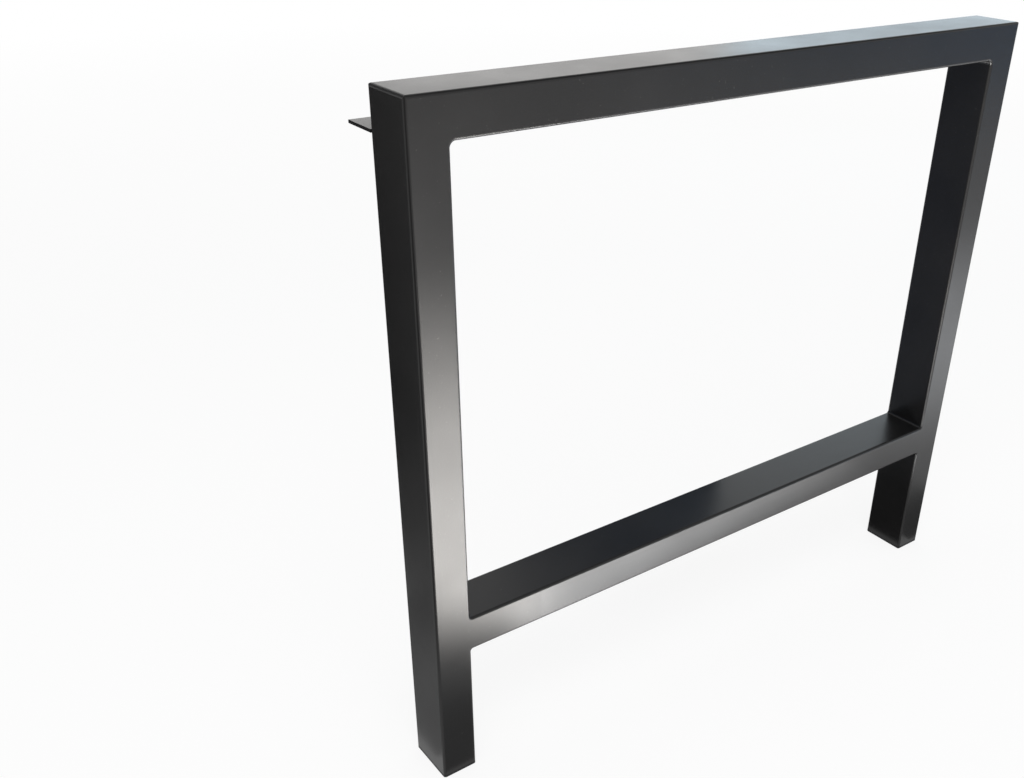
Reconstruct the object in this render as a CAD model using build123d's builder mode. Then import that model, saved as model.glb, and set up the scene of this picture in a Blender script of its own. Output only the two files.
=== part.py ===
from build123d import *
import os

# Table leg: a welded H-frame of rectangular steel tube, with a screw flange along the top rail,
# a short plate on the lower rail and a plastic plug in each foot.
# X runs along the table's edge, -Y is the outer side, +Z is up, and the floor is at Z = 0.

# Driving dimensions in millimetres
frame_width = 800.0
frame_height = 720.0
tube_depth = 60.0
tube_face = 40.0
tube_wall = 2.0
tube_corner = 3.0
lower_rail_clearance = 160.0

flange_reach = 40.0
flange_thickness = 3.0
flange_hole_end = 35.0
flange_hole_edge = 12.0
flange_hole_count = 8

plate_length = 200.0
plate_reach = 40.0
plate_thickness = 4.0
plate_hole_pitch = 60.0
plate_hole_count = 3
plate_corner = 3.0

screw_hole = 6.6
bar_edge = 0.5

mitre_edge = 3.0
mitre_edge_inset = 1.0
corner_weld_leg = 5.0
corner_weld_hollow = 0.8
rail_weld_leg = 2.5
rail_weld_hollow = 0.4
stitch_length = 22.0
stitch_radius = 5.0
stitch_end = 15.0
stitch_ripples = 5
stitch_dip = 0.5
groove_weld_length = 50.0
groove_weld_end = 15.0

plug_head = 4.0
plug_head_edge = 1.0
plug_depth = 20.0
plug_wall = 2.0
plug_gap = 1.2
rib_gap = 0.1
rib_thickness = 1.2
rib_count = 3

# Places worked out from them
frame_depth = tube_depth + max(flange_reach, plate_reach)
front_face = -frame_depth / 2
back_face = front_face + tube_depth
tube_middle = front_face + tube_depth / 2
outer_side = frame_width / 2
inner_side = outer_side - tube_face
top_rail_underside = frame_height - tube_face
upright_length = frame_height - plug_head

bore_face = tube_face - 2 * tube_wall
bore_depth = tube_depth - 2 * tube_wall
bore_corner = max(tube_corner - tube_wall, tube_wall / 4)

flange_top = top_rail_underside + flange_thickness
flange_hole_line = back_face + flange_reach - flange_hole_edge
flange_hole_pitch = (frame_width - 2 * flange_hole_end) / (flange_hole_count - 1)

plate_top = lower_rail_clearance + plate_thickness


# Tube sections and cuts
def tube_outline(plane):
    """Outer tube section, its narrow face along the plane's x and its depth along the plane's y."""
    with BuildSketch(plane) as outline:
        RectangleRounded(tube_face, tube_depth, tube_corner)
    return outline.sketch


def tube_section(plane):
    """The same section with the tube's bore cut out."""
    with BuildSketch(plane) as section:
        RectangleRounded(tube_face, tube_depth, tube_corner)
        RectangleRounded(bore_face, bore_depth, bore_corner, mode=Mode.SUBTRACT)
    return section.sketch


def rail_plane(start, underside):
    """Section plane of a level tube that starts at x = start and runs along +X."""
    return Plane(origin=(start, tube_middle, underside + tube_face / 2), x_dir=(0, 0, 1), z_dir=(1, 0, 0))


def upright_plane(side):
    """Section plane of an upright, on the head of its foot plug."""
    return Plane((side * (outer_side - tube_face / 2), tube_middle, plug_head))


def mitre_plane(side):
    """Cut from the outer top edge down to the opening's corner, facing the upright on that side."""
    return Plane(origin=(side * outer_side, tube_middle, frame_height), z_dir=(side, 0, -1))


def across_plane(side, away, height):
    """Plane across the frame, x = away from the middle, its x towards the opening and its y up."""
    return Plane(origin=(side * away, tube_middle, height), x_dir=(-side, 0, 0), z_dir=(0, side, 0))


def dressing_section(side):
    """What dressing takes off the outer edge of a mitre, down to a round of nearly a quarter circle."""
    edge = mitre_edge
    with BuildSketch(across_plane(side, outer_side, frame_height)) as section:
        with BuildLine():
            Polyline((0, -edge), (-edge, -edge), (-edge, edge), (edge, edge), (edge, 0))
            ThreePointArc((edge, 0), (mitre_edge_inset, -mitre_edge_inset), (0, -edge))
        make_face()
    return section.sketch


# Top rail, mitred at both ends
with BuildPart() as top_rail:
    extrude(tube_section(rail_plane(-outer_side, top_rail_underside)), amount=frame_width)
    for side in (-1, 1):
        split(bisect_by=mitre_plane(side), keep=Keep.BOTTOM)
        extrude(dressing_section(side), amount=tube_depth / 2, both=True, mode=Mode.SUBTRACT)


# Uprights, mitred at the top and standing on the heads of their plugs
def upright(side):
    with BuildPart() as post:
        extrude(tube_section(upright_plane(side)), amount=upright_length)
        split(bisect_by=mitre_plane(side), keep=Keep.TOP)
        extrude(dressing_section(side), amount=tube_depth / 2, both=True, mode=Mode.SUBTRACT)
    return post


left_upright = upright(-1)
right_upright = upright(1)

# Lower rail, cut square and butted between the uprights
with BuildPart() as lower_rail:
    extrude(tube_section(rail_plane(-inner_side, lower_rail_clearance)), amount=2 * inner_side)

# Mounting flange, flush with the top rail's underside and with the uprights' outer sides
with BuildPart() as mounting_flange:
    with BuildSketch(Plane((0, back_face + flange_reach / 2, top_rail_underside))):
        Rectangle(frame_width, flange_reach)
    extrude(amount=flange_thickness)
    outer_edges = mounting_flange.faces().sort_by(Axis.Y)[-1].edges().filter_by(Axis.X)
    fillet(outer_edges, bar_edge)
    with Locations(Plane((0, flange_hole_line, flange_top))):
        with GridLocations(flange_hole_pitch, 0, flange_hole_count, 1):
            Hole(screw_hole / 2)

# Stretcher plate, flush with the lower rail's underside
with BuildPart() as stretcher_plate:
    with BuildSketch(Plane((0, back_face + plate_reach / 2, lower_rail_clearance))):
        plate_outline = Rectangle(plate_length, plate_reach)
        fillet(plate_outline.vertices().group_by(Axis.Y)[-1], plate_corner)
    extrude(amount=plate_thickness)
    with Locations(Plane((0, back_face + plate_reach / 2, plate_top))):
        with GridLocations(plate_hole_pitch, 0, plate_hole_count, 1):
            Hole(screw_hole / 2)


# Welds between the tubes: a block over each joint, with hollow faces in the opening's corners and edges as
# round as the tubes', less the tubes themselves; what is left lies flush with the front and back faces
weld_inset = 2 * tube_corner


def corner_weld_section(side):
    """Block over the corner under the top rail."""
    leg = corner_weld_leg
    middle = leg / 2 - corner_weld_hollow
    with BuildSketch(across_plane(side, inner_side, top_rail_underside)) as section:
        with BuildLine():
            Polyline((0, -leg), (-weld_inset, -leg), (-weld_inset, weld_inset), (leg, weld_inset), (leg, 0))
            ThreePointArc((leg, 0), (middle, -middle), (0, -leg))
        make_face()
    return section.sketch


def rail_weld_section(side):
    """Block over the end of the lower rail."""
    leg = rail_weld_leg
    middle = leg / 2 - rail_weld_hollow
    half = tube_face / 2
    with BuildSketch(across_plane(side, inner_side, lower_rail_clearance + half)) as section:
        with BuildLine():
            Polyline((0, half + leg), (-weld_inset, half + leg), (-weld_inset, -half - leg), (0, -half - leg))
            ThreePointArc((0, -half - leg), (middle, -half - middle), (leg, -half))
            Line((leg, -half), (leg, half))
            ThreePointArc((leg, half), (middle, half + middle), (0, half + leg))
        make_face()
    return section.sketch


with BuildPart() as corner_welds:
    for side in (-1, 1):
        extrude(corner_weld_section(side), amount=tube_depth / 2, both=True)
    fillet(corner_welds.edges().filter_by(GeomType.CIRCLE), tube_corner)
    for side in (-1, 1):
        extrude(tube_outline(upright_plane(side)), amount=upright_length, mode=Mode.SUBTRACT)
    extrude(tube_outline(rail_plane(-outer_side, top_rail_underside)), amount=frame_width, mode=Mode.SUBTRACT)

with BuildPart() as lower_rail_welds:
    for side in (-1, 1):
        extrude(rail_weld_section(side), amount=tube_depth / 2, both=True)
    fillet(lower_rail_welds.edges().filter_by(GeomType.CIRCLE), tube_corner)
    for side in (-1, 1):
        extrude(tube_outline(upright_plane(side)), amount=upright_length, mode=Mode.SUBTRACT)
    extrude(tube_outline(rail_plane(-inner_side, lower_rail_clearance)), amount=2 * inner_side, mode=Mode.SUBTRACT)


# Stitch beads on the flange: one at each end, and one between the holes of each inner pair
def stitch_section(start):
    """Half outline of a rippled bead, from its root line out to its crests, lying on the flange's top."""
    ripple = stitch_length / stitch_ripples
    dip_radius = stitch_radius - stitch_dip
    end_radius = dip_radius / 2
    end_crest = stitch_radius - stitch_dip / 2
    last = stitch_length - ripple
    with BuildSketch(start) as section:
        with BuildLine():
            Polyline((0, end_radius), (0, 0), (stitch_length, 0), (stitch_length, end_radius))
            ThreePointArc((0, end_radius), (ripple / 2, end_crest), (ripple, dip_radius))
            for step in range(1, stitch_ripples - 1):
                crest = (step + 0.5) * ripple
                ThreePointArc((step * ripple, dip_radius), (crest, stitch_radius), ((step + 1) * ripple, dip_radius))
            ThreePointArc((last, dip_radius), (last + ripple / 2, end_crest), (stitch_length, end_radius))
        make_face()
    return section.sketch


inner_gaps = flange_hole_count - 3
stitch_places = [flange_hole_pitch * (gap - (inner_gaps - 1) / 2) for gap in range(inner_gaps)]
stitch_places += [side * (outer_side - stitch_end) for side in (-1, 1)]

with BuildPart() as flange_welds:
    for place in stitch_places:
        root = Plane((place - stitch_length / 2, back_face, flange_top))
        revolve(stitch_section(root), axis=Axis(root.origin, (1, 0, 0)), revolution_arc=90)

# Groove beads under the stretcher plate, between its edge and the rail's rounded corner
with BuildPart() as plate_welds:
    for side in (-1, 1):
        bead_middle = side * (plate_length / 2 - groove_weld_end - groove_weld_length / 2)
        groove = Plane(origin=(bead_middle, back_face, lower_rail_clearance), x_dir=(0, -1, 0), z_dir=(-1, 0, 0))
        with BuildSketch(groove):
            with BuildLine():
                Polyline((tube_corner, 0), (0, 0), (0, tube_corner))
                RadiusArc((0, tube_corner), (tube_corner, 0), -tube_corner)
            make_face()
        extrude(amount=groove_weld_length / 2, both=True)


# Foot plugs: a head as large as the tube, and a hollow ribbed stub inside it
def foot_plug(side):
    middle = (side * (outer_side - tube_face / 2), tube_middle)
    stub_face = bore_face - 2 * plug_gap
    stub_depth = bore_depth - 2 * plug_gap
    rib_pitch = plug_depth / (rib_count + 1)
    with BuildPart() as plug:
        extrude(tube_outline(Plane((*middle, 0))), amount=plug_head)
        chamfer(plug.faces().sort_by(Axis.Z)[0].edges(), plug_head_edge)
        with BuildSketch(Plane((*middle, plug_head))):
            Rectangle(stub_face, stub_depth)
        extrude(amount=plug_depth)
        for rib in range(rib_count):
            rib_start = plug_head + (rib + 1) * rib_pitch - rib_thickness / 2
            with BuildSketch(Plane((*middle, rib_start))):
                RectangleRounded(bore_face - 2 * rib_gap, bore_depth - 2 * rib_gap, bore_corner)
            extrude(amount=rib_thickness)
        with BuildSketch(Plane((*middle, plug_head))):
            Rectangle(stub_face - 2 * plug_wall, stub_depth - 2 * plug_wall)
        extrude(amount=plug_depth, mode=Mode.SUBTRACT)
    return plug


left_foot_plug = foot_plug(-1)
right_foot_plug = foot_plug(1)

# Export, one file for each piece
pieces = {
    "top_rail": top_rail,
    "left_upright": left_upright,
    "right_upright": right_upright,
    "lower_rail": lower_rail,
    "mounting_flange": mounting_flange,
    "stretcher_plate": stretcher_plate,
    "corner_welds": corner_welds,
    "lower_rail_welds": lower_rail_welds,
    "flange_welds": flange_welds,
    "plate_welds": plate_welds,
    "left_foot_plug": left_foot_plug,
    "right_foot_plug": right_foot_plug,
}
os.makedirs("parts", exist_ok=True)
for name, piece in pieces.items():
    piece.part.label = name
    export_step(piece.part, f"parts/{name}.step")
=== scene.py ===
from math import radians

import bpy
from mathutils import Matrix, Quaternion, Vector

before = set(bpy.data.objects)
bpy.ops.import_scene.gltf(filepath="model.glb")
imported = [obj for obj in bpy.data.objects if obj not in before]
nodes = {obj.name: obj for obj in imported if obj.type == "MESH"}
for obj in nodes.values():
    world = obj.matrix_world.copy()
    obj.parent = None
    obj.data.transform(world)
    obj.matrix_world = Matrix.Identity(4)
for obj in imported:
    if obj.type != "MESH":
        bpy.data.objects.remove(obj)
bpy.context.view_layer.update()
scene = bpy.context.scene

# Camera: a three-quarter view of the leg's outer side from a little above its top, in metres and degrees
camera_place = Vector((-0.8132, -0.8295, 0.9018))
camera_aim = Vector((-0.1660, -0.0133, 0.3061))
camera_roll = 1.75
camera_lens = 38.83
camera_shift = (-0.0883, 0.0688)


def make_camera():
    data = bpy.data.cameras.new("camera")
    data.lens = camera_lens
    data.shift_x, data.shift_y = camera_shift
    camera = bpy.data.objects.new("camera", data)
    camera.location = camera_place
    camera.rotation_mode = "QUATERNION"
    look = (camera_aim - camera_place).to_track_quat("-Z", "Y")
    camera.rotation_quaternion = look @ Quaternion((0, 0, 1), radians(camera_roll))
    scene.collection.objects.link(camera)
    scene.camera = camera


# Node helpers: an input is given as a plain value, a colour or the output socket that feeds it
noise_middle = (0.3, 0.7)


def feed(tree, socket, value):
    if isinstance(value, bpy.types.NodeSocket):
        tree.links.new(value, socket)
    elif socket.type == "RGBA":
        socket.default_value = (*value, 1)
    else:
        socket.default_value = value


def add_node(tree, kind, **inputs):
    node = tree.nodes.new(kind)
    for name, value in inputs.items():
        feed(tree, node.inputs[name.replace("_", " ")], value)
    return node


def work_out(tree, kind, operation, *values):
    """Adds a math node, whose inputs go by their order."""
    node = tree.nodes.new(kind)
    node.operation = operation
    for socket, value in zip(node.inputs, values):
        feed(tree, socket, value)
    return node.outputs["Value"]


def map_range(tree, value, old, new=(0.0, 1.0)):
    node = add_node(tree, "ShaderNodeMapRange", Value=value)
    for name, limit in zip(("From Min", "From Max", "To Min", "To Max"), (*old, *new)):
        feed(tree, node.inputs[name], limit)
    return node.outputs["Result"]


def mix_colours(tree, factor, first, second):
    node = tree.nodes.new("ShaderNodeMix")
    node.data_type = "RGBA"
    for name, value in (("Factor", factor), ("A", first), ("B", second)):
        feed(tree, node.inputs[name], value)
    return node.outputs["Result"]


def object_place(tree):
    return tree.nodes.new("ShaderNodeTexCoord").outputs["Object"]


def noise(tree, place, scale, detail, roughness=0.5):
    node = add_node(tree, "ShaderNodeTexNoise", Vector=place, Scale=scale, Detail=detail, Roughness=roughness)
    return node.outputs["Fac"]


def bump(tree, height, depth, below=None):
    node = add_node(tree, "ShaderNodeBump", Height=height, Distance=depth)
    if below is not None:
        feed(tree, node.inputs["Normal"], below)
    return node.outputs["Normal"]


def new_material(name):
    material = bpy.data.materials.new(name)
    material.use_nodes = True
    tree = material.node_tree
    return material, tree, tree.nodes["Principled BSDF"]


# Satin black powder coat: cloudy gloss, faint waves, orange peel, fine grain and a few specks of dust. A
# noise is given by its scale per metre, detail and roughness, a depth in metres
coat_ior = 1.38
coat_dark = (0.005, 0.005, 0.0053)
coat_light = (0.0085, 0.008, 0.008)
coat_clouds = (9.0, 4.0)
coat_peel = (560.0, 1.0)
coat_grain = (2600.0, 2.0)
gloss_swing = 0.035
wave_depth = 0.0002
grain_depth = 0.000008
dust_grey = (0.045, 0.044, 0.042)
dust_specks = (330.0, 3.0, 0.6)
dust_range = (0.68, 0.80)


def powder_coat(name, roughness, peel_depth):
    material, tree, shader = new_material(name)
    place = object_place(tree)
    clouds = noise(tree, place, *coat_clouds)
    specks = map_range(tree, noise(tree, place, *dust_specks), dust_range)
    black = mix_colours(tree, clouds, coat_dark, coat_light)
    waves = bump(tree, clouds, wave_depth)
    peel = bump(tree, noise(tree, place, *coat_peel), peel_depth, waves)
    grain = bump(tree, noise(tree, place, *coat_grain), grain_depth, peel)
    gloss = map_range(tree, clouds, noise_middle, (roughness - gloss_swing, roughness + gloss_swing))
    feed(tree, shader.inputs["IOR"], coat_ior)
    feed(tree, shader.inputs["Base Color"], mix_colours(tree, specks, black, dust_grey))
    feed(tree, shader.inputs["Roughness"], gloss)
    feed(tree, shader.inputs["Normal"], grain)
    return material


# Moulded black plastic of the plugs: dull, with a fine spark-eroded grain
plug_dark = (0.006, 0.006, 0.0065)
plug_light = (0.010, 0.010, 0.0105)
plug_clouds = (40.0, 3.0)
plug_grain = (1800.0, 3.0)
plug_grain_depth = 0.00003
plug_roughness = (0.52, 0.62)
plug_specular = 0.25


def plug_plastic():
    material, tree, shader = new_material("plug_plastic")
    place = object_place(tree)
    clouds = noise(tree, place, *plug_clouds)
    grain = bump(tree, noise(tree, place, *plug_grain), plug_grain_depth)
    feed(tree, shader.inputs["Specular IOR Level"], plug_specular)
    feed(tree, shader.inputs["Base Color"], mix_colours(tree, clouds, plug_dark, plug_light))
    feed(tree, shader.inputs["Roughness"], map_range(tree, clouds, noise_middle, plug_roughness))
    feed(tree, shader.inputs["Normal"], grain)
    return material


tube_nodes = ["top_rail", "left_upright", "right_upright", "lower_rail", "corner_welds", "lower_rail_welds"]
bar_nodes = ["mounting_flange", "stretcher_plate"]
bead_nodes = ["flange_welds", "plate_welds"]
plug_nodes = ["left_foot_plug", "right_foot_plug"]


def paint(names, material):
    for name in names:
        nodes[name].material_slots[0].material = material


paint(tube_nodes, powder_coat("powder_coat_tube", roughness=0.31, peel_depth=0.000045))
paint(bar_nodes, powder_coat("powder_coat_bar", roughness=0.32, peel_depth=0.00005))
paint(bead_nodes, powder_coat("powder_coat_bead", roughness=0.34, peel_depth=0.00012))
paint(plug_nodes, plug_plastic())


# Floor and room: white where the camera or a gloss sees them, a plain soft light for the leg. Near the leg
# the floor keeps its shadow
white = (1, 1, 1)
floor_size = 60.0
floor_paper = (0.9, 0.9, 0.9)
floor_glow = 0.85
shadow_reach = (1.5, 5.0)
room_light = 0.65


def looked_at(tree):
    """One where the surroundings are seen, also in a gloss or through glass; zero where they give light."""
    path = tree.nodes.new("ShaderNodeLightPath").outputs
    shiny = work_out(tree, "ShaderNodeMath", "MAXIMUM", path["Is Glossy Ray"], path["Is Transmission Ray"])
    return work_out(tree, "ShaderNodeMath", "MAXIMUM", path["Is Camera Ray"], shiny)


def floor_whiteness(tree):
    """How far the floor glows of itself: less near the leg, fully at a distance, where it meets the room."""
    distance = work_out(tree, "ShaderNodeVectorMath", "LENGTH", object_place(tree))
    glow = map_range(tree, distance, shadow_reach, (floor_glow, 1.0))
    return work_out(tree, "ShaderNodeMath", "MULTIPLY", glow, looked_at(tree))


def make_floor():
    bpy.ops.mesh.primitive_plane_add(size=floor_size)
    floor = bpy.context.object
    floor.name = "floor"
    material, tree, shader = new_material("floor_white")
    tree.nodes.remove(shader)
    paper = add_node(tree, "ShaderNodeBsdfDiffuse", Color=floor_paper)
    glow = add_node(tree, "ShaderNodeEmission", Color=white, Strength=1.0)
    mix = add_node(tree, "ShaderNodeMixShader", Fac=floor_whiteness(tree))
    tree.links.new(paper.outputs["BSDF"], mix.inputs[1])
    tree.links.new(glow.outputs["Emission"], mix.inputs[2])
    tree.links.new(mix.outputs["Shader"], tree.nodes["Material Output"].inputs["Surface"])
    floor.data.materials.append(material)


def make_world():
    world = bpy.data.worlds.new("room")
    scene.world = world
    world.use_nodes = True
    tree = world.node_tree
    sky = tree.nodes["Background"]
    feed(tree, sky.inputs["Color"], white)
    feed(tree, sky.inputs["Strength"], map_range(tree, looked_at(tree), (0.0, 1.0), (room_light, 1.0)))


# Cards that only the coat's gloss sees, and lamps that the camera doesn't: places and sizes in metres, angles
# in degrees
flat = 0
standing = 90
facing_up = 180
card_roughness = 0.9
wide = 180
narrow = 145

black_card = (0.03, 0.03, 0.03)
navy_card = (0.06, 0.095, 0.17)
blue_card = (0.28, 0.55, 0.95)
dark_grey_shade_card = (0.22, 0.22, 0.22)
mid_grey_shade_card = (0.50, 0.50, 0.50)

warm = (1.0, 0.97, 0.93)
plain = (1.0, 1.0, 1.0)
cool = (0.93, 0.96, 1.0)
blue = (0.60, 0.84, 1.0)


def make_card(name, place, tilt, turn, size, tone):
    """A card that lies flat; tilt stands it up and turn swings it round."""
    bpy.ops.mesh.primitive_plane_add(size=1, location=place, rotation=(radians(tilt), 0, radians(turn)))
    card = bpy.context.object
    card.name = name
    card.scale = (*size, 1)
    material, tree, shader = new_material(name)
    feed(tree, shader.inputs["Base Color"], tone)
    feed(tree, shader.inputs["Roughness"], card_roughness)
    card.data.materials.append(material)
    card.visible_camera = False
    card.visible_diffuse = False
    card.visible_shadow = False


def make_lamp(name, place, tilt, turn, size, watts, colour, glossy=True, spread=wide):
    """A lamp that faces down; tilt lifts it, up to 180 degrees for straight up, and turn swings it round."""
    data = bpy.data.lights.new(name, "AREA")
    data.shape = "RECTANGLE"
    data.size, data.size_y = size
    data.energy = watts
    data.spread = radians(spread)
    data.color = colour
    lamp = bpy.data.objects.new(name, data)
    lamp.location = place
    lamp.rotation_euler = (radians(tilt), 0, radians(turn))
    lamp.visible_camera = False
    lamp.visible_glossy = glossy
    scene.collection.objects.link(lamp)


def make_cards():
    # Dark sides and edges
    make_card("card_above", (1.0, -0.25, 1.7), flat, 0, (2.0, 0.9), black_card)
    make_card("card_left", (-0.52, 0.50, 0.36), standing, 90, (0.80, 0.72), black_card)
    make_card("card_edge", (-0.60, -0.19, 0.36), standing, 90, (0.20, 0.72), black_card)
    make_card("card_inside", (0.10, 0.345, 0.35), standing, 90, (0.55, 0.70), navy_card)
    # Painted shadow: a black sheet on the floor under the frame, seen only in the gloss, stands in for the
    # frame's shadow there
    make_card("painted_shadow_card_under", (0.20, 0.05, 0.002), flat, 0, (0.30, 0.20), black_card)
    make_card("card_corner", (-0.56, 0.5, 1.0), standing, 0, (0.34, 0.34), black_card)
    # Cool tint at the right end of the front
    make_card("card_cool", (3.3, -2.3, 0.6), standing, 55, (2.4, 1.2), blue_card)
    # Painted shade: grey sheets on the floor by the feet, seen only in the gloss, stand in for the contact
    # shadow there, so the feet darken towards the floor
    make_card("painted_shade_foot_side", (-0.465, 0.12, 0.003), flat, 0, (0.11, 0.28), mid_grey_shade_card)
    make_card("painted_shade_foot_left", (-0.35, -0.105, 0.003), flat, 0, (0.10, 0.10), mid_grey_shade_card)
    make_card("painted_shade_foot_right", (0.46, -0.10, 0.003), flat, 0, (0.14, 0.09), dark_grey_shade_card)


def make_lamps():
    # Plain light from above, which the gloss doesn't show
    make_lamp("key", (-0.8, -1.2, 2.4), 30, -34, (1.6, 1.6), 30, plain, glossy=False)
    # Panels on the floor, whose glow the front faces and the back faces mirror
    make_lamp("front_left", (-0.045, -0.645, 0.01), facing_up, -57, (0.85, 0.26), 18.0, warm, spread=narrow)
    make_lamp("front_middle", (0.146, -0.288, 0.01), facing_up, -9, (0.70, 0.11), 3.9, plain, spread=narrow)
    make_lamp("front_right", (1.05, -0.55, 0.01), facing_up, 0, (0.9, 0.5), 4.1, cool)
    make_lamp("back_right", (0.72, 0.65, 0.01), facing_up, 0, (1.1, 0.9), 6.6, plain)
    # Low lamps behind, which the top face mirrors
    make_lamp("back_low", (1.44, 2.81, 1.2), standing, 137, (1.8, 0.65), 4.0, warm)
    make_lamp("back_cool", (2.76, 1.59, 1.2), standing, 137, (1.8, 0.65), 5.5, blue)


make_camera()
make_floor()
make_world()
make_cards()
make_lamps()
scene.view_settings.view_transform = "Standard"
